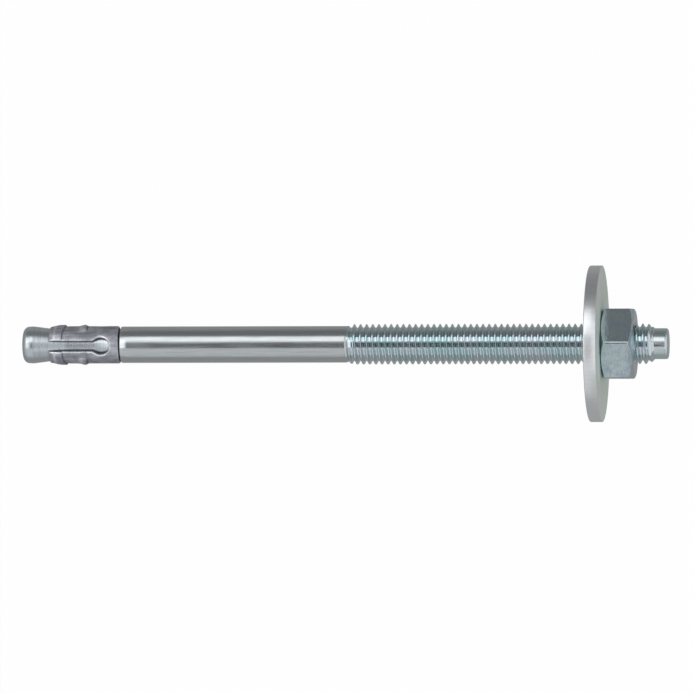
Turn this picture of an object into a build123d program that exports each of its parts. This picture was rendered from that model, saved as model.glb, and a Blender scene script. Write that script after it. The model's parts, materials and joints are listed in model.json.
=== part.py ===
from build123d import *
from math import asin, atan2, cos, hypot, radians, sin, tan
import os

os.makedirs("parts", exist_ok=True)

# A wedge anchor of size M10, in millimetres and degrees. Values named ..._at are distances along the bolt
# from its cone end.

# Bolt: cone, neck, smooth shank, rolled thread and plain tip
bolt_length = 158.2
cone_diameter = 9.04
cone_rounding = 1.4
cone_land = 1.05
cone_half_angle = 7.2
neck_diameter = 6.8
shoulder_at = 24.1
shank_diameter = 8.9
thread_length = 74.5
thread_diameter = 9.85
thread_root_diameter = 8.2
thread_pitch = 1.5
thread_runout = 1.3
tip_diameter = 7.5
tip_length = 3.3
tip_chamfer = 0.5

# Expansion clip: a sheet sleeve round the neck, with a raised collar, three slots and three bumps
clip_length = 17.15
clip_wall = 1.0
clip_play = 0.15
clip_end_gap = 0.3
clip_lip = 0.35
collar_height = 0.33
collar_length = 3.75
collar_rise_length = 1.5
collar_back_length = 0.35
slot_count = 3
slot_turn = 5
slot_width = 2.85
slot_flare_length = 2.1
keyhole_diameter = 4.5
keyhole_distance = 4.4
seam_width = 0.5
bump_turn = 68
bump_distance = 7.05
bump_length = 2.5
bump_back_length = 0.45
bump_top_length = 0.5
bump_height = 0.5
bump_angle = 44

# Washer, punched from plate: its edge is drawn in on the side towards the cone
washer_diameter = 38
washer_thickness = 3
washer_bore = 11
washer_chamfer = 0.3
washer_gap = 0.1

# Hexagon nut
nut_across_flats = 16.9
nut_height = 8
nut_chamfer_angle = 30
nut_face_diameter = 15.9
nut_play = 0.1
nut_countersink = 0.5
nut_turn = -1
nut_to_tip = 8.05

# Rest: the anchor lies on the rounding of its cone and on the edge of the washer, and the bolt lies
# in the bottom of the washer's bore.
nut_at = bolt_length - nut_to_tip - nut_height
washer_at = nut_at - washer_thickness
washer_lift = (washer_bore - thread_diameter) / 2 - washer_gap
cone_edge_radius = cone_diameter / 2 - cone_rounding
edge_distance = washer_at + washer_chamfer - cone_rounding
edge_rise = washer_diameter / 2 - washer_lift - cone_edge_radius
lean = atan2(edge_rise, edge_distance) - asin(cone_rounding / hypot(edge_distance, edge_rise))
along = Vector(cos(lean), 0, sin(lean))
upward = Vector(-sin(lean), 0, cos(lean))
end_height = cone_edge_radius * cos(lean) + cone_rounding * (1 - sin(lean))
cone_end = Vector(-bolt_length * cos(lean) / 2, 0, end_height)
bolt_axis = Axis(cone_end, along)
washer_axis = Axis(cone_end + upward * washer_lift, along)


def lengthwise(turn=0, lift=0):
    """A plane that holds the bolt's line: x runs along the bolt and y points outwards, at an angle from the top."""
    outward = upward.rotate(bolt_axis, turn)
    return Plane(origin=cone_end + upward * lift, x_dir=along, z_dir=along.cross(outward))


def facing(turn):
    """A plane on the bolt's line, seen from outside at an angle from the top: x runs along the bolt."""
    return Plane(origin=cone_end, x_dir=along, z_dir=upward.rotate(bolt_axis, turn))


def across(distance, turn=0):
    """A plane square to the bolt, at a distance from the cone end: x points outwards, at an angle from the top."""
    return Plane(origin=cone_end + along * distance, x_dir=upward.rotate(bolt_axis, turn), z_dir=along)


# Anchor bolt
cone_radius = cone_diameter / 2
neck_radius = neck_diameter / 2
cone_slope = tan(radians(cone_half_angle))
cone_start = cone_rounding + cone_land
neck_at = cone_start + (cone_radius - neck_radius) / cone_slope
shank_radius = shank_diameter / 2
thread_radius = thread_diameter / 2
root_radius = thread_root_diameter / 2
tip_radius = tip_diameter / 2
tip_at = bolt_length - tip_length
thread_at = tip_at - thread_length


def thread_point(k):
    """A point of the thread's outline: a groove's root where k is odd, a crest where it is even."""
    distance = thread_at + k * thread_pitch / 2
    runout_radius = tip_radius + (thread_radius - tip_radius) * (tip_at - distance) / thread_runout
    return distance, min(root_radius if k % 2 else thread_radius, runout_radius)


# The thread is one closed groove for each turn of the real helix
thread_points = [thread_point(k) for k in range(1, int(2 * thread_length / thread_pitch))]

with BuildPart() as anchor_bolt:
    with BuildSketch(lengthwise()):
        with BuildLine():
            Line((0, 0), (0, cone_edge_radius))
            RadiusArc((0, cone_edge_radius), (cone_rounding, cone_radius), cone_rounding)
            Polyline(
                (cone_rounding, cone_radius),
                (cone_start, cone_radius),
                (neck_at, neck_radius),
                (shoulder_at, neck_radius),
                (shoulder_at, shank_radius),
                (thread_at, shank_radius),
                *thread_points,
                (tip_at, tip_radius),
                (bolt_length - tip_chamfer, tip_radius),
                (bolt_length, tip_radius - tip_chamfer),
                (bolt_length, 0),
                (0, 0),
            )
        make_face()
    revolve(axis=bolt_axis)

# Expansion clip
clip_back = shoulder_at - clip_end_gap
clip_front = clip_back - clip_length
clip_inner_radius = neck_radius + clip_play
clip_outer_radius = clip_inner_radius + clip_wall
collar_radius = clip_outer_radius + collar_height
collar_back_at = clip_front + collar_length
mouth_radius = cone_radius - (clip_front - cone_start) * cone_slope + clip_play
bump_at = clip_front + bump_distance
bump_back = bump_at + bump_length
bump_radius = clip_outer_radius + bump_height
keyhole_at = clip_back - keyhole_distance
slot_angles = [slot_turn + k * 360 / slot_count for k in range(slot_count)]
bump_angles = [bump_turn, 180, -bump_turn]

with BuildPart() as expansion_clip:
    with BuildSketch(lengthwise()):
        with BuildLine():
            Polyline(
                (clip_front, mouth_radius),
                (clip_front, mouth_radius + clip_lip),
                (clip_front + collar_rise_length, collar_radius),
                (collar_back_at - collar_back_length, collar_radius),
                (collar_back_at, clip_outer_radius),
                (clip_back, clip_outer_radius),
                (clip_back, clip_inner_radius),
                (neck_at, clip_inner_radius),
                close=True,
            )
        make_face()
    revolve(axis=bolt_axis)
    with BuildSketch(*[lengthwise(angle - bump_angle / 2) for angle in bump_angles]):
        with BuildLine():
            Polyline(
                (bump_at, clip_outer_radius - clip_wall / 2),
                (bump_at, clip_outer_radius),
                (bump_back - bump_back_length - bump_top_length, bump_radius),
                (bump_back - bump_back_length, bump_radius),
                (bump_back, clip_outer_radius),
                (bump_back, clip_outer_radius - clip_wall / 2),
                close=True,
            )
        make_face()
    revolve(axis=bolt_axis, revolution_arc=bump_angle)
    with BuildSketch(*[facing(angle) for angle in slot_angles]):
        with BuildLine():
            Polyline(
                (clip_front - clip_wall, slot_width / 2),
                (keyhole_at - slot_flare_length, slot_width / 2),
                (keyhole_at, keyhole_diameter / 2),
                (keyhole_at, -keyhole_diameter / 2),
                (keyhole_at - slot_flare_length, -slot_width / 2),
                (clip_front - clip_wall, -slot_width / 2),
                close=True,
            )
        make_face()
        with Locations((keyhole_at, 0)):
            Circle(keyhole_diameter / 2)
    extrude(amount=collar_radius + clip_wall, mode=Mode.SUBTRACT)
    # Seam: the two ends of the rolled sheet meet behind the last slot
    with BuildSketch(facing(slot_angles[-1])):
        with Locations((keyhole_at, 0)):
            Rectangle(clip_length, seam_width, align=(Align.MIN, Align.CENTER))
    extrude(amount=collar_radius + clip_wall, mode=Mode.SUBTRACT)

# Washer
with BuildPart() as washer:
    with BuildSketch(lengthwise(lift=washer_lift)):
        with BuildLine():
            Polyline(
                (washer_at, washer_bore / 2),
                (washer_at, washer_diameter / 2 - washer_chamfer),
                (washer_at + washer_chamfer, washer_diameter / 2),
                (nut_at, washer_diameter / 2),
                (nut_at, washer_bore / 2),
                close=True,
            )
        make_face()
    revolve(axis=washer_axis)

# Hexagon nut
nut_bore = thread_diameter + 2 * nut_play
nut_corner_radius = nut_across_flats / 2 / cos(radians(30))
nut_face_radius = nut_face_diameter / 2
chamfer_depth = (nut_corner_radius - nut_face_radius) * tan(radians(nut_chamfer_angle))

with BuildPart() as hex_nut:
    with BuildSketch(across(nut_at, nut_turn)):
        RegularPolygon(nut_corner_radius, 6)
    extrude(amount=nut_height)
    with BuildSketch(lengthwise()):
        with BuildLine():
            Polyline(
                (nut_at, 0),
                (nut_at, nut_face_radius),
                (nut_at + chamfer_depth, nut_corner_radius),
                (nut_at + nut_height - chamfer_depth, nut_corner_radius),
                (nut_at + nut_height, nut_face_radius),
                (nut_at + nut_height, 0),
                close=True,
            )
        make_face()
    revolve(axis=bolt_axis, mode=Mode.INTERSECT)
    with BuildSketch(lengthwise()):
        with BuildLine():
            Polyline(
                (nut_at, 0),
                (nut_at, nut_bore / 2 + nut_countersink),
                (nut_at + nut_countersink, nut_bore / 2),
                (nut_at + nut_height - nut_countersink, nut_bore / 2),
                (nut_at + nut_height, nut_bore / 2 + nut_countersink),
                (nut_at + nut_height, 0),
                close=True,
            )
        make_face()
    revolve(axis=bolt_axis, mode=Mode.SUBTRACT)

anchor_bolt.part.label = "anchor_bolt"
export_step(anchor_bolt.part, "parts/anchor_bolt.step")
expansion_clip.part.label = "expansion_clip"
export_step(expansion_clip.part, "parts/expansion_clip.step")
washer.part.label = "washer"
export_step(washer.part, "parts/washer.step")
hex_nut.part.label = "hex_nut"
export_step(hex_nut.part, "parts/hex_nut.step")
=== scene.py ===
"""Looks of a wedge anchor: threaded bolt, expansion clip, washer and nut, in metres in the model's own frame."""

import json
from math import cos, pi, radians, sin, tan

import bmesh
import bpy
import numpy as np
from mathutils import Matrix, Vector
from mathutils.geometry import delaunay_2d_cdt


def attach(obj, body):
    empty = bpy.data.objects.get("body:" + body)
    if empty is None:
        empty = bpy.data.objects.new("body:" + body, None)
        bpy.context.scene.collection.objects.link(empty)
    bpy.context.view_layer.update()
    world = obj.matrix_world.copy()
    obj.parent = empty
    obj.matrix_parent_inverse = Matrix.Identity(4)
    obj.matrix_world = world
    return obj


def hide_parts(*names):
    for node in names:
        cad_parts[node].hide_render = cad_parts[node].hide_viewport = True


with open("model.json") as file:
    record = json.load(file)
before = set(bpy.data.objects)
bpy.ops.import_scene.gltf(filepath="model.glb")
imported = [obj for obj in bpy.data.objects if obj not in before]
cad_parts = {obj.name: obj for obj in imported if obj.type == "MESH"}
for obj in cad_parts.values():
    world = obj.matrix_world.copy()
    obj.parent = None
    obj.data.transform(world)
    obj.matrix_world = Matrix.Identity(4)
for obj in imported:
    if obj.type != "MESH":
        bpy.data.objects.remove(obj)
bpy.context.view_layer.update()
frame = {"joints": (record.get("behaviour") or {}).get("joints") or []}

mm = 0.001
joints = {joint["name"]: joint for joint in frame["joints"]}

# The bolt's line, read from the joints. The nut's inner face lies nut_at along it, and the washer's line above it
along = Vector(joints["clip_turn"]["axis"]).normalized()
upward = along.cross(Vector((0, 1, 0)))
nut_distance = 142.15
nut_at = nut_distance * mm
cone_end = Vector(joints["nut_turn"]["pos_m"]) - along * nut_at
washer_lift = 0.475 * mm


def bolt_matrix(distance=0.0, lift=0.0):
    """A frame on the bolt's line: x runs along the bolt and z points to its upper side."""
    place = cone_end + along * distance + upward * lift
    return Matrix(
        (
            (along.x, 0, upward.x, place.x),
            (along.y, 1, upward.y, place.y),
            (along.z, 0, upward.z, place.z),
            (0, 0, 0, 1),
        )
    )


# Meshes


def shell(name, sections, matrix, sharp_angle=28):
    """A surface round the x axis, made of sections that meet ring to ring. A section is (rows, lag): rows holds
    points [row, column, (x, radius, turn)], and lag is how many rows its last column is behind its first."""
    points, faces, used = [], [], 0
    for rows, lag in sections:
        x, radius, turn = rows[..., 0], rows[..., 1], rows[..., 2]
        points.append(np.stack([x, -radius * np.sin(turn), radius * np.cos(turn)], -1).reshape(-1, 3))
        count, columns = x.shape
        index = used + np.arange(count * columns).reshape(count, columns)
        later = np.minimum(np.arange(count) + lag, count - 1)
        right = np.concatenate([index[:, 1:], index[later, :1]], 1)
        quads = np.stack([index[:-1], right[:-1], right[1:], index[1:]], -1)
        faces += quads.reshape(-1, 4).tolist()
        used += count * columns
    mesh = bpy.data.meshes.new(name)
    mesh.from_pydata(np.concatenate(points).tolist(), [], faces)
    return to_object(name, mesh, matrix, sharp_angle)


def to_object(name, mesh, matrix, sharp_angle):
    """Joins equal points, turns the faces outwards, marks the sharp edges and links the object."""
    bm = bmesh.new()
    bm.from_mesh(mesh)
    bmesh.ops.remove_doubles(bm, verts=bm.verts, dist=3e-7)
    bmesh.ops.recalc_face_normals(bm, faces=bm.faces)
    for face in bm.faces:
        face.smooth = True
    for edge in bm.edges:
        edge.smooth = edge.is_manifold and edge.calc_face_angle(0) < radians(sharp_angle)
    bm.to_mesh(mesh)
    bm.free()
    mesh.transform(matrix)
    piece = bpy.data.objects.new(name, mesh)
    bpy.context.scene.collection.objects.link(piece)
    return piece


def rings(profile, turns):
    """Rows of a turned shape from its (x, radius) points in millimetres."""
    line = np.array(profile) * mm
    rows = np.zeros((len(line), len(turns), 3))
    rows[..., 0] = line[:, :1]
    rows[..., 1] = line[:, 1:]
    rows[..., 2] = turns
    return rows


def arc(centre, radius, start, end, steps):
    """Points of an arc in the (x, radius) plane, with angles in degrees from the x axis."""
    return [
        (centre[0] + radius * cos(radians(angle)), centre[1] + radius * sin(radians(angle)))
        for angle in np.linspace(start, end, steps)
    ]


def ease(x, start, end):
    """Rises smoothly from 0 at start to 1 at end."""
    share = np.clip((x - start) / (end - start), 0, 1)
    return share * share * (3 - 2 * share)


# The thread, in millimetres along the bolt from its cone end
pitch = 1.5
crest_phase = 0.84
crest_radius = 4.925
root_radius = 4.075
shank_radius = 4.45
tip_radius = 3.75
thread_start, thread_end = 78.9, 154.9
# Where crests and roots reach their full size behind the shank, and where the crests run out before the tip
crest_rise, root_fall = (79.6, 81.5), (79.5, 80.4)
run_out, run_out_radii = (153.2, 154.3, thread_end), (crest_radius, 4.35, tip_radius)
# Shares of a pitch at which the profile has points, and how far each lies from the crest towards the root. The
# flanks stand at 60 degrees to each other. Their ends have a second row of points, so that their shading stays flat
# up to the rounded crest and root
profile_shares = [0, 0.05, 0.076, 0.088, 0.362, 0.374, 0.4, 0.5]
profile_depths = [0, 0.003, 0.0307, 0.0685, 0.9315, 0.9693, 0.997, 1]
profile_steps = profile_shares + [1 - share for share in reversed(profile_shares[1:-1])]


def thread_rows(start, end, turns):
    """Rows that follow the right-handed helix between two places on the bolt, and how deep each point lies."""
    first, last = int(start / pitch) - 2, int(end / pitch) + 2
    steps = np.array([k + step for k in range(first, last) for step in profile_steps])
    x = np.clip(crest_phase + pitch * (steps[:, None] + turns / (2 * pi)), start, end)
    rows = np.zeros((*x.shape, 3))
    rows[..., 0] = x
    rows[..., 2] = turns
    phase = np.abs((x - crest_phase) / pitch - turns / (2 * pi))
    phase = np.abs(phase - np.round(phase))
    return rows, np.interp(phase, profile_shares, profile_depths)


# Bolt: forged cone and neck, plain shank, rolled thread, plain tip
bolt_columns = 96
bolt_turns = np.arange(bolt_columns) * 2 * pi / bolt_columns
cone_slope = tan(radians(7.2))
cone_radius, neck_radius, shoulder_at = 4.52, 3.4, 24.1
nose_rounding, nose_centre, tip_rounding, bolt_length = 1.4, 3.07, 0.6, 158.2
cone_start = 2.45
neck_at = cone_start + (cone_radius - neck_radius) / cone_slope
head = [(0, 0), (0, 1.5), (0, 3.0)]
head += arc((nose_rounding, nose_centre), nose_rounding, 180, 93, 9)
head += [(cone_start - 0.3, cone_radius), (cone_start + 0.3, cone_radius - 0.3 * cone_slope)]
head += [(x, cone_radius - (x - cone_start) * cone_slope) for x in np.linspace(cone_start + 1, neck_at - 0.4, 12)]
head += [(neck_at + 0.4, neck_radius), (17.5, neck_radius), (shoulder_at - 0.25, neck_radius)]
head += [(shoulder_at - 0.06, neck_radius + 0.06), (shoulder_at, neck_radius + 0.2)]
head += [(shoulder_at, shank_radius - 0.25), (shoulder_at + 0.07, shank_radius - 0.08)]
head += [(shoulder_at + 0.25, shank_radius)]
head += [(x, shank_radius) for x in np.linspace(26, thread_start, 24)]
thread, depth = thread_rows(thread_start, thread_end, bolt_turns)
x = thread[..., 0]
crest = shank_radius + (crest_radius - shank_radius) * ease(x, *crest_rise)
root = shank_radius - (shank_radius - root_radius) * ease(x, *root_fall)
lead_in = np.interp(x, run_out, run_out_radii)
thread[..., 1] = np.minimum(crest + (root - crest) * depth, lead_in)
thread[..., :2] *= mm
tip = [(thread_end, tip_radius), (155.3, tip_radius), (156.5, tip_radius), (157.4, tip_radius)]
tip += arc((bolt_length - tip_rounding, tip_radius - tip_rounding), tip_rounding, 90, 0, 8)
tip += [(bolt_length, 1.5), (bolt_length, 0)]
bolt = shell(
    "bolt_forged_and_rolled",
    [(rings(head, bolt_turns), 0), (thread, len(profile_steps)), (rings(tip, bolt_turns), 0)],
    bolt_matrix(),
)
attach(bolt, "bolt")
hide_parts("anchor_bolt")

# Washer: punched plate with rounded rims, turned shape on its own line
washer_columns = 180
washer_turns = np.arange(washer_columns) * 2 * pi / washer_columns
plate, rim, bore, rim_rounding, burr = 3.0, 19.0, 5.5, 0.3, 0.08
section = [(0.25, bore), (0.06, bore + 0.06), (0, bore + 0.25)]
section += [(0, radius) for radius in np.linspace(6.5, rim - 1, 8)]
section += arc((rim_rounding, rim - rim_rounding), rim_rounding, 180, 90, 7)
section += [(plate / 2, rim)]
section += arc((plate - burr, rim - burr), burr, 90, 0, 4)
section += [(plate, radius) for radius in np.linspace(rim - 1, 6.5, 8)]
section += [(plate, bore + 0.25), (plate - 0.06, bore + 0.06), (plate - 0.25, bore), (0.25, bore)]
washer_frame = bolt_matrix(nut_at - plate * mm, washer_lift)
washer = shell("washer_plate", [(rings(section, washer_turns), 0)], washer_frame)
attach(washer, "washer")
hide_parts("washer")

# Nut: hexagon with a 30 degree chamfer at both faces, countersunk bore and internal thread
nut_turn = radians(-1)
nut_height, flat_radius, face_radius, mouth_radius = 8.0, 8.45, 7.95, 5.5
corner_wear, countersink_slope = 0.11, 1.15
thread_play, crest_play = 0.09, 0.12
# Degrees from a corner at which each flat has points
corner_turns = [0, 0.5, 1.2, 2.5, 5, 10, 15, 20, 25]
sector = corner_turns + [30] + [60 - turn for turn in reversed(corner_turns[1:])]
nut_turns = nut_turn + np.radians([60 * k + turn for k in range(6) for turn in sector])
from_corner = (nut_turns - nut_turn + pi / 6) % (pi / 3) - pi / 6
hexagon = flat_radius / np.cos(pi / 6 - np.abs(from_corner))
hexagon = np.minimum(hexagon, flat_radius / cos(pi / 6) - corner_wear)
edge_at = (hexagon - face_radius) * tan(radians(30))
inner, depth = thread_rows(nut_distance, nut_distance + nut_height, nut_turns)
place = inner[..., 0] - nut_distance
inner_thread = crest_radius + (root_radius - crest_radius) * depth + thread_play
inner_thread = np.maximum(inner_thread, root_radius + crest_play)
countersink = mouth_radius - countersink_slope * np.minimum(place, nut_height - place)
inner[..., 0] = place * mm
inner[..., 1] = np.maximum(inner_thread, countersink) * mm


def half_nut(away):
    """Rows of one half of the nut's outside, from the bore's mouth to the flats. away mirrors them."""
    flat = np.ones_like(hexagon)
    slant = cos(radians(30)), sin(radians(30))
    lines = [
        (0 * flat, mouth_radius * flat),
        (0 * flat, (mouth_radius + 1.2) * flat),
        (0 * flat, (face_radius - 0.12) * flat),
        (0.03 * flat, (face_radius + 0.02) * flat),
        (edge_at - 0.1 * slant[1], hexagon - 0.1 * slant[0]),
        (edge_at - 0.015, hexagon - 0.04),
        (edge_at + 0.03, hexagon - 0.008),
        (edge_at + 0.1, hexagon),
        (1.6 * flat, hexagon),
    ]
    rows = np.array([np.stack([x, radius, nut_turns], -1) for x, radius in lines])
    if away:
        rows = rows[::-1].copy()
        rows[..., 0] = nut_height - rows[..., 0]
    rows[..., :2] *= mm
    return rows


nut = shell(
    "hexagon_nut",
    [(inner, len(profile_steps)), (np.concatenate([half_nut(False), half_nut(True)]), 0)],
    bolt_matrix(nut_at),
)
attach(nut, "nut")
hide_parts("hex_nut")

# Clip: one sheet with three slots, cut flat, pressed and rolled round the neck until its ends meet
slot_turn = radians(5)
slot_turns = [slot_turn + radians(120) * k for k in range(3)]
seam_turn = slot_turns[-1]
clip_front, clip_radius, clip_bore = 6.65, 4.57, 3.55
slot_half, seam_half = 1.3, 0.2
keyhole_at, keyhole_radius, flare_at, keyhole_start = 19.4, 2.2, 17.4, 112
collar_end, shoulder_line, crown_line, bump_back_line, rear_band = 10.05, 8.05, 14.5, 15.95, 22.8
edge_rounding = 0.36


def rear_edge(turn):
    """The rear edge is cut slightly askew, so that it lies nearest the shoulder beside the first slot."""
    return 23.68 + 0.1 * np.sin(turn) + 0.15 * np.cos(turn)


def collar_back(turn):
    """Where the collar ends: nearest the cone beside the first slot."""
    from_first = np.abs((turn - slot_turn + pi) % (2 * pi) - pi)
    return collar_end + 0.12 * np.sin(turn) + 0.7 * ease(from_first, radians(42), radians(85))


def lengthwise(end):
    """Places along the clip, close together at the steep backs of the collar and the bumps."""
    spans = ((clip_front, 9.5, 0.28), (9.5, 10.45, 0.08), (10.45, 15.1, 0.28), (15.1, 16.2, 0.11), (16.2, end, 0.28))
    return np.concatenate([np.arange(*span) for span in spans])


def beside_collar(x, turn):
    """Moves places near the collar's back along with it."""
    return x + (collar_back(turn) - collar_end) * ease(x, 7.5, 9.5) * (1 - ease(x, 10.45, 12.5))


def side_of_slot(turn, seam):
    """Outline of half a slot as (x, width), from the front edge to the rear band."""
    points = [(beside_collar(x, turn), slot_half) for x in lengthwise(flare_at - 0.1)] + [(flare_at, slot_half)]
    widest = radians(keyhole_start)
    top = (keyhole_at + keyhole_radius * cos(widest), keyhole_radius * sin(widest))
    points += [tuple(np.array(points[-1]) * (1 - k / 6) + np.array(top) * (k / 6)) for k in range(1, 6)]
    last = np.arcsin(seam_half / keyhole_radius) if seam else 0
    points += [
        (keyhole_at + keyhole_radius * cos(angle), keyhole_radius * sin(angle))
        for angle in np.linspace(widest, last, 16)
    ]
    return points


def clip_outline():
    """The flat sheet's outline as (x, arc length at the outer radius), starting at one end of the seam."""
    turns = [seam_turn - 2 * pi, *slot_turns]
    outline = []
    for k, turn in enumerate(turns):
        half = np.array(side_of_slot(turn, k in (0, 3)))
        arcs = np.arcsin(half[:, 1] / clip_radius)
        if k > 0:
            outline += [(x, turn - arc) for x, arc in zip(half[:, 0], arcs)]
        if k < 3:
            back = [(x, turn + arc) for x, arc in zip(half[:, 0], arcs)][::-1]
            outline += back[1:] if 0 < k else back
            gap = np.arcsin(slot_half / clip_radius)
            outline += [(clip_front, angle) for angle in np.linspace(turn + gap, turns[k + 1] - gap, 26)[1:-1]]
    seam_gap = seam_half / clip_radius
    first, last = turns[0] + seam_gap, turns[-1] - seam_gap
    end_x = outline[-1][0]
    outline += [(x, last) for x in np.linspace(end_x, rear_edge(last), 9)[1:-1]]
    outline += [(rear_edge(angle), angle) for angle in np.linspace(last, first, 90)]
    outline += [(x, first) for x in np.linspace(rear_edge(first), outline[0][0], 9)[1:-1]]
    return np.array(outline) * (1, clip_radius)


def inset(outline, distance):
    """The outline moved inwards by a distance."""
    before, after = np.roll(outline, 1, 0), np.roll(outline, -1, 0)
    a, b = outline - before, after - outline
    a /= np.linalg.norm(a, axis=1)[:, None]
    b /= np.linalg.norm(b, axis=1)[:, None]
    normal = np.stack([-(a + b)[:, 1], (a + b)[:, 0]], 1)
    normal /= np.maximum(np.einsum("ij,ij->i", normal, np.stack([-b[:, 1], b[:, 0]], 1)), 0.6)[:, None]
    return outline + normal * distance


def depth_inside(points, outline):
    """How far each point lies inside the outline, negative outside it."""
    x, y = points[:, :1], points[:, 1:]
    a, b = outline, np.roll(outline, -1, 0)
    crossing = (a[:, 1] > y) != (b[:, 1] > y)
    at = a[:, 0] + (y - a[:, 1]) * (b[:, 0] - a[:, 0]) / np.where(b[:, 1] == a[:, 1], 1e-9, b[:, 1] - a[:, 1])
    within = (crossing & (x < at)).sum(1) % 2 == 1
    edge = b - a
    share = np.clip(((x - a[:, 0]) * edge[:, 0] + (y - a[:, 1]) * edge[:, 1]) / (edge**2).sum(1), 0, 1)
    distance = np.hypot(x - a[:, 0] - share * edge[:, 0], y - a[:, 1] - share * edge[:, 1]).min(1)
    return np.where(within, distance, -distance)


def clip_outside(x, turn):
    """Outer radius of the clip: a collar that rises to a steep back, and a bump on each of the three leaves."""
    collar = np.interp(
        x - collar_back(turn),
        [-3.6, -3.3, -2.9, -2.2, -1.6, -1.0, -0.4, -0.25, -0.02, 0.1, 0.5],
        [-0.12, -0.02, 0.06, 0.22, 0.3, 0.33, 0.33, 0.3, -0.02, -0.06, 0],
    )
    dome, rise = bump(x, turn)
    return clip_radius + collar + 0.46 * dome * rise


def bump(x, turn):
    """How far a point lies on a bump across the bolt, and how high the bump is along it, both from 0 to 1."""
    from_bump = np.abs((turn[..., None] - np.radians([-68, 68, 180]) + pi) % (2 * pi) - pi).min(-1)
    dome = 1 - ease(from_bump, radians(8), radians(29))
    return dome, np.interp(x, [13.2, 13.9, 14.7, 15.2, 15.55, 15.85, 16.05], [0, 0.25, 0.8, 1, 0.95, 0.4, 0])


def fold_shade(x, turn):
    """Where shade is painted at the sheet's folds: the backs of the collar and the bumps."""
    collar = np.exp(-(((x - collar_back(turn) + 0.08) / 0.16) ** 2))
    return np.maximum(collar, bump(x, turn)[0] * np.exp(-(((x - bump_back_line) / 0.2) ** 2)))


def highlight_on_crown(x, turn):
    """Where highlights are painted: the collar's front shoulder and the bumps' crowns."""
    shoulder = np.exp(-(((x - shoulder_line) / 0.28) ** 2))
    return np.maximum(shoulder, bump(x, turn)[0] * np.exp(-(((x - crown_line) / 0.6) ** 2)))


def clip_inside(x):
    """Inner radius of the clip, which lies close on the cone and the neck."""
    return np.maximum(cone_radius - (x - cone_start) * cone_slope + 0.15, clip_bore)


# The flat sheet: its outline, turned so that inwards is to the left, then a grid inside it, joined by triangles
outline = clip_outline()
if (outline[:, 0] * np.roll(outline[:, 1], -1) - outline[:, 1] * np.roll(outline[:, 0], -1)).sum() < 0:
    outline = outline[::-1]
rim_line = inset(outline, edge_rounding)
grid_step, grid_margin = 0.27, 0.07
grid = np.stack(np.meshgrid(lengthwise(24.2), np.arange(-12, 24, grid_step)), -1).reshape(-1, 2)
grid[:, 0] = beside_collar(grid[:, 0], grid[:, 1] / clip_radius)
grid = grid[depth_inside(grid, rim_line) > grid_margin]
flat = np.concatenate([rim_line, grid])
loop = [(k, (k + 1) % len(rim_line)) for k in range(len(rim_line))]
cut = delaunay_2d_cdt([Vector(point) for point in flat], loop, [], 1, 1e-6)
sheet, triangles = np.array([tuple(point) for point in cut[0]]), [tuple(face) for face in cut[2]]


def rolled(points, radius):
    """Points of the flat sheet rolled round the bolt's line at a radius, in metres."""
    turn = points[:, 1] / clip_radius
    return np.stack([points[:, 0], -radius * np.sin(turn), radius * np.cos(turn)], -1) * mm


def radii(points, share):
    """Radius at a share of the wall, from 0 inside to 1 outside."""
    low = clip_inside(points[:, 0])
    high = clip_outside(points[:, 0], points[:, 1] / clip_radius)
    return low + (high - low) * share


def clip_piece():
    """The sheet's two sides and its rounded cut edge, with how much painted highlight and painted shade each point
    gets.
    """
    count, size = len(sheet), len(outline)
    faces = list(triangles) + [tuple(k + count for k in reversed(face)) for face in triangles]
    layers = [rolled(sheet, radii(sheet, 1)), rolled(sheet, radii(sheet, 0))]
    from_edge = depth_inside(sheet, outline) - edge_rounding
    at_slot = ease(sheet[:, 0], clip_front + 0.3, clip_front + 0.6)
    at_slot *= 1 - ease(sheet[:, 0], rear_band - 0.4, rear_band)
    # Painted highlights: on the collar's front shoulder and the bumps' crowns, and along the slot edges
    crown_highlights = highlight_on_crown(sheet[:, 0], sheet[:, 1] / clip_radius)
    painted_highlight = [np.maximum(0.5 * (1 - ease(from_edge, 0, 0.15)) * at_slot, crown_highlights), np.zeros(count)]
    slot_edge = (outline[:, 0] > clip_front + 0.01) & (outline[:, 0] < rear_band)
    # Painted shade: in the folds at the backs of the collar and the bumps, and a flat share over the whole inner side
    painted_shade = [fold_shade(sheet[:, 0], sheet[:, 1] / clip_radius), np.full(count, 0.4)]
    low, high = radii(outline, 0), radii(outline, 1)
    rounding = np.minimum(edge_rounding, 0.45 * (high - low))
    edge_rows = [(rim_line, radii(rim_line, 1), 0.5, 0)]
    # Each row of the rounded edge gets a share of painted highlight and of painted shade; the cut wall below it is
    # fully shaded
    for angle, highlight_share, shade in ((25, 1, 0), (50, 0.9, 0), (72, 0.3, 0.5), (90, 0, 1)):
        line = inset(outline, edge_rounding * (1 - sin(radians(angle))))
        edge_rows.append((line, high - rounding * (1 - cos(radians(angle))), highlight_share, shade))
    edge_rows.append((outline, low + 0.3 * rounding, 0, 1))
    edge_rows.append((inset(outline, 0.3 * edge_rounding), low, 0, 1))
    edge_rows.append((rim_line, radii(rim_line, 0), 0, 0.6))
    for line, radius, highlight_share, shade in edge_rows:
        layers.append(rolled(line, radius))
        painted_highlight.append(highlight_share * np.where(slot_edge, 1.0, 0.15))
        painted_shade.append(np.full(size, float(shade)))
    for row in range(len(edge_rows) - 1):
        for k in range(size):
            a, b = 2 * count + row * size + k, 2 * count + row * size + (k + 1) % size
            faces.append((a, b, b + size, a + size))
    mesh = bpy.data.meshes.new("clip_sheet")
    mesh.from_pydata(np.concatenate(layers).tolist(), [], faces)
    for name, values in (("painted_highlight", painted_highlight), ("painted_shade", painted_shade)):
        attribute = mesh.attributes.new(name, "FLOAT", "POINT")
        attribute.data.foreach_set("value", np.concatenate(values).astype(np.float32))
    return to_object("clip_sheet", mesh, bolt_matrix(), 40)


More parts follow.
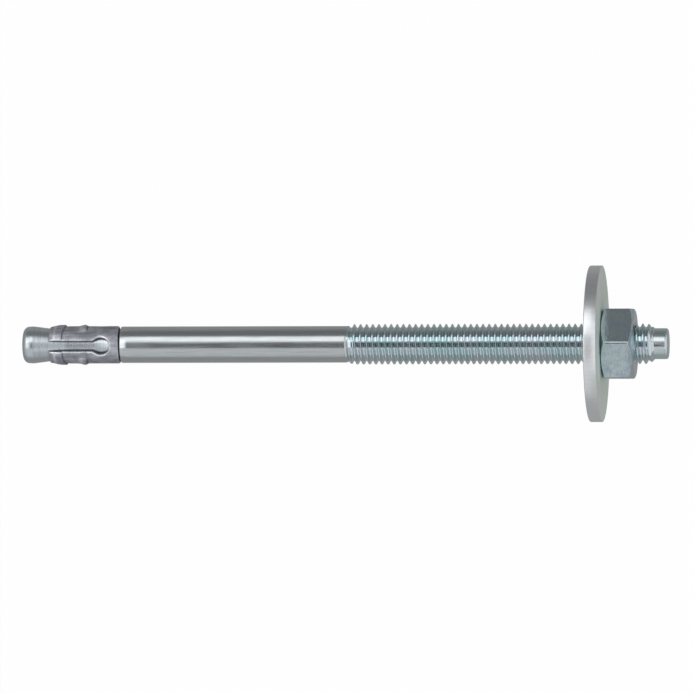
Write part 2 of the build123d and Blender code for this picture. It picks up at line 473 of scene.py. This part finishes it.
clip = clip_piece()
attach(clip, "clip")
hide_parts("expansion_clip")

# Materials


def math_node(nodes, links, operation, *values):
    """A maths node whose inputs are numbers or other nodes' outputs."""
    node = nodes.new("ShaderNodeMath")
    node.operation = operation
    for socket, value in zip(node.inputs, values):
        if isinstance(value, (int, float)):
            socket.default_value = value
        else:
            links.new(value, socket)
    return node.outputs[0]


class Painter:
    """Builds one material's nodes, in a frame whose x runs along the bolt."""

    def __init__(self, name, matrix):
        self.material = bpy.data.materials.new(name)
        self.material.use_nodes = True
        self.nodes, self.links = self.material.node_tree.nodes, self.material.node_tree.links
        self.shader = self.nodes["Principled BSDF"]
        mapping = self.nodes.new("ShaderNodeMapping")
        mapping.vector_type = "TEXTURE"
        mapping.inputs["Location"].default_value = matrix.translation
        mapping.inputs["Rotation"].default_value = matrix.to_euler()
        self.links.new(self.nodes.new("ShaderNodeTexCoord").outputs["Object"], mapping.inputs["Vector"])
        self.place = mapping.outputs["Vector"]

    def attribute(self, name):
        node = self.nodes.new("ShaderNodeAttribute")
        node.attribute_name = name
        return node.outputs["Fac"]

    def feed(self, socket, value):
        """Sets a socket to a number or a colour, or links it to another node's output."""
        if isinstance(value, (int, float)):
            socket.default_value = value
        elif isinstance(value, tuple):
            socket.default_value = (*value, 1)
        else:
            self.links.new(value, socket)

    def math(self, operation, *values):
        return math_node(self.nodes, self.links, operation, *values)

    def noise(self, stretch, size, detail=4.0, rough=0.55):
        """Noise whose grain is size to the metre, drawn out along the axes by stretch."""
        mapping = self.nodes.new("ShaderNodeMapping")
        mapping.inputs["Scale"].default_value = stretch
        texture = self.nodes.new("ShaderNodeTexNoise")
        texture.inputs["Scale"].default_value = size
        texture.inputs["Detail"].default_value = detail
        texture.inputs["Roughness"].default_value = rough
        self.links.new(self.place, mapping.inputs["Vector"])
        self.links.new(mapping.outputs["Vector"], texture.inputs["Vector"])
        return texture.outputs["Fac"]

    def spread(self, value, low, high, to_low=0.0, to_high=1.0):
        """Goes from to_low to to_high as value goes from low to high."""
        node = self.nodes.new("ShaderNodeMapRange")
        for name, number in (("From Min", low), ("From Max", high)):
            node.inputs[name].default_value = number
        self.feed(node.inputs["To Min"], to_low)
        self.feed(node.inputs["To Max"], to_high)
        self.links.new(value, node.inputs["Value"])
        return node.outputs["Result"]

    def mix(self, share, a, b):
        """Colour a where share is 0, and b where it is 1."""
        node = self.nodes.new("ShaderNodeMix")
        node.data_type = "RGBA"
        self.feed(node.inputs["Factor"], share)
        self.feed(node.inputs["A"], a)
        self.feed(node.inputs["B"], b)
        return node.outputs["Result"]

    def parts(self):
        """The place along the bolt, sideways and upwards."""
        node = self.nodes.new("ShaderNodeSeparateXYZ")
        self.links.new(self.place, node.inputs[0])
        return node.outputs

    def distance(self):
        """The place along the bolt alone."""
        return self.parts()["X"]

    def from_axis(self):
        """The distance from the line that the piece was turned on."""
        parts = self.parts()
        squares = [self.math("MULTIPLY", parts[name], parts[name]) for name in ("Y", "Z")]
        return self.math("SQRT", self.math("ADD", *squares))

    def finish(self, colour, roughness, height, depth):
        """Makes it bare metal with a relief that is depth deep."""
        self.shader.inputs["Metallic"].default_value = 1.0
        self.feed(self.shader.inputs["Base Color"], colour)
        self.feed(self.shader.inputs["Roughness"], roughness)
        bump = self.nodes.new("ShaderNodeBump")
        bump.inputs["Strength"].default_value = 1.0
        bump.inputs["Distance"].default_value = depth
        self.links.new(height, bump.inputs["Height"])
        self.links.new(bump.outputs["Normal"], self.shader.inputs["Normal"])
        return self.material


def bolt_material():
    """Bright zinc: turned rings on the dull cone and neck, drawn lines on the shank, blue and green on the thread."""
    p = Painter("bolt_zinc", bolt_matrix())
    on_shank = p.spread(p.distance(), 0.0235, 0.0242)
    on_thread = p.spread(p.distance(), 0.0795, 0.081)
    patches = p.spread(p.noise((0.6, 1, 1), 190, 4), 0.42, 0.6)
    streaks = p.noise((0.12, 1.5, 1.5), 1100, 3)
    rings_drawn = p.noise((3.2, 0.12, 0.12), 900, 2, 0.7)
    speckle = p.noise((1, 1, 1), 3000, 3, 0.7)
    shank = p.mix(p.spread(streaks, 0.35, 0.75), (0.64, 0.67, 0.69), (0.54, 0.60, 0.61))
    thread = p.mix(patches, (0.72, 0.79, 0.83), (0.63, 0.77, 0.79))
    dull = p.mix(p.spread(rings_drawn, 0.3, 0.7), (0.68, 0.73, 0.77), (0.52, 0.58, 0.62))
    colour = p.mix(on_shank, dull, p.mix(on_thread, shank, thread))
    on_tip = p.spread(p.distance(), 0.1548, 0.1551)
    drawn = p.spread(streaks, 0.3, 0.7, 0.18, 0.25)
    smooth = p.spread(on_thread, 0, 1, drawn, p.spread(on_tip, 0, 1, 0.08, p.spread(streaks, 0.3, 0.7, 0.16, 0.3)))
    roughness = p.spread(on_shank, 0, 1, p.spread(rings_drawn, 0.3, 0.7, 0.24, 0.34), smooth)
    fine = p.math("MULTIPLY_ADD", speckle, 0.15, p.math("MULTIPLY", streaks, 0.5))
    fine = p.math("MULTIPLY", fine, p.spread(on_thread, 0, 1, 1, 0.3))
    height = p.spread(on_shank, 0, 1, p.math("MULTIPLY", rings_drawn, 0.5), fine)
    return p.finish(colour, roughness, height, 0.000012)


def clip_material():
    """Dull zinc on stamped sheet: lines along the rolling direction and dark scuffs, painted shade in the folds, on
    the cut walls and on the inner side, and painted highlights on the slot edges and the crowns.
    """
    p = Painter("clip_zinc", bolt_matrix())
    patches = p.noise((0.7, 1, 1), 420, 5, 0.65)
    streaks = p.noise((0.14, 1.3, 1.3), 1200, 4, 0.65)
    speckle = p.noise((1, 1, 1), 3600, 3, 0.7)
    colour = p.mix(p.spread(patches, 0.4, 0.6), (0.62, 0.64, 0.69), (0.38, 0.40, 0.45))
    colour = p.mix(p.spread(streaks, 0.45, 0.65, 0, 0.7), colour, (0.30, 0.31, 0.36))
    # Painted highlight: lightens the colour along the slot edges, on the collar's shoulder and on the bumps' crowns
    painted_highlight = p.math("MULTIPLY", p.attribute("painted_highlight"), p.spread(patches, 0.38, 0.62, 1, 0.3))
    colour = p.mix(painted_highlight, colour, (0.93, 0.95, 0.98))
    # Painted shade: darkens the colour in the folds, on the cut walls and on the inner side
    colour = p.mix(p.spread(p.attribute("painted_shade"), 0, 1, 0, 0.8), colour, (0.11, 0.11, 0.14))
    dull = p.spread(patches, 0.35, 0.7, 0.5, 0.68)
    roughness = p.spread(painted_highlight, 0, 1, dull, 0.34)
    height = p.math("MULTIPLY_ADD", speckle, 0.35, streaks)
    return p.finish(colour, roughness, height, 0.00003)


def washer_material():
    """Satin zinc: bright rim with shear lines across it, and faces with fine grain and a green cast."""
    p = Painter("washer_zinc", washer_frame)
    on_rim = p.spread(p.from_axis(), 0.01865, 0.01885)
    patches = p.noise((1, 1, 1), 110, 4)
    shear = p.noise((0.1, 1.6, 1.6), 800, 4, 0.65)
    speckle = p.noise((1, 1, 1), 2400, 3, 0.7)
    face = p.mix(p.spread(patches, 0.38, 0.64), (0.84, 0.95, 0.88), (0.88, 0.92, 0.87))
    rim_colour = p.mix(p.spread(patches, 0.38, 0.64), (0.92, 0.95, 0.98), (0.92, 0.93, 0.94))
    rim_colour = p.mix(p.spread(shear, 0.45, 0.75, 0, 0.4), rim_colour, (0.70, 0.74, 0.78))
    roughness = p.spread(on_rim, 0, 1, p.spread(speckle, 0.3, 0.7, 0.55, 0.65), p.spread(speckle, 0.3, 0.7, 0.3, 0.38))
    height = p.math("MULTIPLY_ADD", speckle, 0.3, shear)
    return p.finish(p.mix(on_rim, face, rim_colour), roughness, height, 0.000012)


def nut_material():
    """Bright zinc with crossing pale scratches and cloudy blue spots."""
    p = Painter("nut_zinc", bolt_matrix(nut_at))
    clouds = p.noise((1, 1, 1), 520, 5, 0.7)
    scratches = p.noise((1.6, 0.3, 0.8), 1300, 3, 0.6)
    speckle = p.noise((1, 1, 1), 2600, 3, 0.7)
    colour = p.mix(p.spread(clouds, 0.4, 0.62), (0.60, 0.71, 0.73), (0.45, 0.57, 0.67))
    colour = p.mix(p.spread(scratches, 0.5, 0.68, 0, 0.55), colour, (0.74, 0.78, 0.79))
    roughness = p.spread(clouds, 0.35, 0.65, 0.14, 0.22)
    height = p.math("MULTIPLY_ADD", speckle, 0.3, p.math("ADD", clouds, scratches))
    return p.finish(colour, roughness, height, 0.00003)


def give(piece, material):
    """Makes the material the piece's only one."""
    piece.data.materials.clear()
    piece.data.materials.append(material)


give(bolt, bolt_material())
give(clip, clip_material())
give(washer, washer_material())
give(nut, nut_material())

# Floor and room


def add_plane(name, size, place):
    """A level rectangle round its place."""
    mesh = bpy.data.meshes.new(name)
    half_x, half_y = size[0] / 2, size[1] / 2
    corners = [(-half_x, -half_y, 0), (half_x, -half_y, 0), (half_x, half_y, 0), (-half_x, half_y, 0)]
    mesh.from_pydata(corners, [], [(0, 1, 2, 3)])
    plane = bpy.data.objects.new(name, mesh)
    bpy.context.scene.collection.objects.link(plane)
    plane.location = place
    return plane


def change_along(nodes, links, source, axis, start, end, low, high):
    """Changes smoothly from low to high between two places along an axis of source."""
    parts = nodes.new("ShaderNodeSeparateXYZ")
    links.new(source, parts.inputs[0])
    change = nodes.new("ShaderNodeMapRange")
    change.interpolation_type = "SMOOTHSTEP"
    for name, number in (("From Min", start), ("From Max", end), ("To Min", low), ("To Max", high)):
        change.inputs[name].default_value = number
    links.new(parts.outputs[axis], change.inputs["Value"])
    return change.outputs["Result"]


def background_rays(nodes, links):
    """1 for the rays that see the background straight or through glass, and 1 for those that see it in metal."""
    path = nodes.new("ShaderNodeLightPath")
    straight = math_node(nodes, links, "MAXIMUM", path.outputs["Is Camera Ray"], path.outputs["Is Transmission Ray"])
    return straight, path.outputs["Is Glossy Ray"]


# How bright metal shows the white background, where 1 is white: the floor, the floor beyond the bolt, and the room
floor_in_metal = 0.34
floor_beyond = 0.2
room_in_metal = 0.37
# How bright the room is to the floor, and the floor's share of plain white to the camera
room_on_floor = 0.5
floor_whiteness = 0.975
# The room's changes in metal: the axis, where each starts and ends along it, and what it multiplies by
room_changes = (("X", -0.3, -0.9, 1.35), ("X", 0.05, 0.4, 2.1), ("Y", 0.62, 0.85, 0.5))

floor = add_plane("floor", (8, 8), (0, 0, -0.00002))
paper = bpy.data.materials.new("white_paper")
paper.use_nodes = True
nodes, links = paper.node_tree.nodes, paper.node_tree.links
diffuse = nodes["Principled BSDF"]
diffuse.inputs["Base Color"].default_value = (0.95, 0.95, 0.95, 1)
diffuse.inputs["Roughness"].default_value = 0.9
glow = nodes.new("ShaderNodeEmission")
glow.inputs["Color"].default_value = (1, 1, 1, 1)
mix = nodes.new("ShaderNodeMixShader")
straight, mirrored = background_rays(nodes, links)
shown = math_node(nodes, links, "MAXIMUM", straight, mirrored)
links.new(math_node(nodes, links, "MULTIPLY", shown, floor_whiteness), mix.inputs[0])
place = nodes.new("ShaderNodeNewGeometry").outputs["Position"]
dimmer = change_along(nodes, links, place, "Y", 0, 0.1, floor_in_metal - 1, floor_beyond - 1)
links.new(math_node(nodes, links, "MULTIPLY_ADD", mirrored, dimmer, 1), glow.inputs["Strength"])
links.new(diffuse.outputs[0], mix.inputs[1])
links.new(glow.outputs[0], mix.inputs[2])
links.new(mix.outputs[0], nodes["Material Output"].inputs["Surface"])
give(floor, paper)

# The room is white to the camera and grey to the floor. Metal sees it dimmest beyond the key lamp
world = bpy.data.worlds.new("studio")
bpy.context.scene.world = world
world.use_nodes = True
nodes, links = world.node_tree.nodes, world.node_tree.links
background = nodes["Background"]
background.inputs["Color"].default_value = (1, 1, 1, 1)
direction = nodes.new("ShaderNodeTexCoord").outputs["Generated"]
seen = room_in_metal
for axis, start, end, share in room_changes:
    change = change_along(nodes, links, direction, axis, start, end, 1, share)
    seen = math_node(nodes, links, "MULTIPLY", seen, change)
straight, mirrored = background_rays(nodes, links)
others = math_node(nodes, links, "MULTIPLY", math_node(nodes, links, "SUBTRACT", 1, mirrored), room_on_floor)
in_metal = math_node(nodes, links, "MULTIPLY_ADD", mirrored, seen, others)
links.new(math_node(nodes, links, "MAXIMUM", straight, in_metal), background.inputs["Strength"])


def add_light(name, place, away, size, brightness):
    """A soft rectangular lamp that faces against the direction away. brightness 1 looks white."""
    lamp = bpy.data.lights.new(name, "AREA")
    lamp.shape = "RECTANGLE"
    lamp.size, lamp.size_y = size
    lamp.energy = brightness * pi * size[0] * size[1]
    light = bpy.data.objects.new(name, lamp)
    bpy.context.scene.collection.objects.link(light)
    light.location = place
    light.rotation_euler = Vector(away).to_track_quat("Z", "Y").to_euler()


def beside(turn):
    """The direction at an angle from straight above, square to the bolt."""
    return Vector((0, sin(radians(turn)), cos(radians(turn))))


left_of_bolt = Vector((-0.79, 0, 0))
lamp_distance, lamp_length = 1.5, 1.42
for name, turn, width, brightness in (("key", 35.5, 0.87, 1.0), ("fill", -53, 1.7, 0.27)):
    place = left_of_bolt + beside(turn) * lamp_distance
    add_light(name, place, beside(turn), (lamp_length, width), brightness)
add_light("top", (0.17, -0.25, 1.9), (0, 0, 1), (0.5, 2.7), 0.6)
add_light("cone_side", (-0.98, 0.05, 1.4), (-0.98, 0, 1.4), (1.3, 0.8), 1.1)
# A dark card darkens the gap between the lamps in metal, but not above the cone
card = add_plane("dark_card", (0.47, 0.98), (-0.385, -0.19, 1.7))
card.visible_camera = False
card.visible_shadow = False
card.visible_diffuse = False
black = bpy.data.materials.new("black_card")
black.use_nodes = True
black.node_tree.nodes["Principled BSDF"].inputs["Base Color"].default_value = (0.03, 0.03, 0.03, 1)
give(card, black)

# Camera, placed as the photograph's: almost straight above, with a long lens
view = bpy.data.cameras.new("camera")
view.sensor_width = 36
photo_width = 693
focal_pixels = 8432.6
view.lens = focal_pixels * view.sensor_width / photo_width
camera = bpy.data.objects.new("camera", view)
bpy.context.scene.collection.objects.link(camera)
camera.location = (0.049349, 0, 2.066052)
camera.rotation_euler = (-0.000311, 0.023839, -0.0020506)
bpy.context.scene.camera = camera
bpy.context.scene.view_settings.view_transform = "Standard"
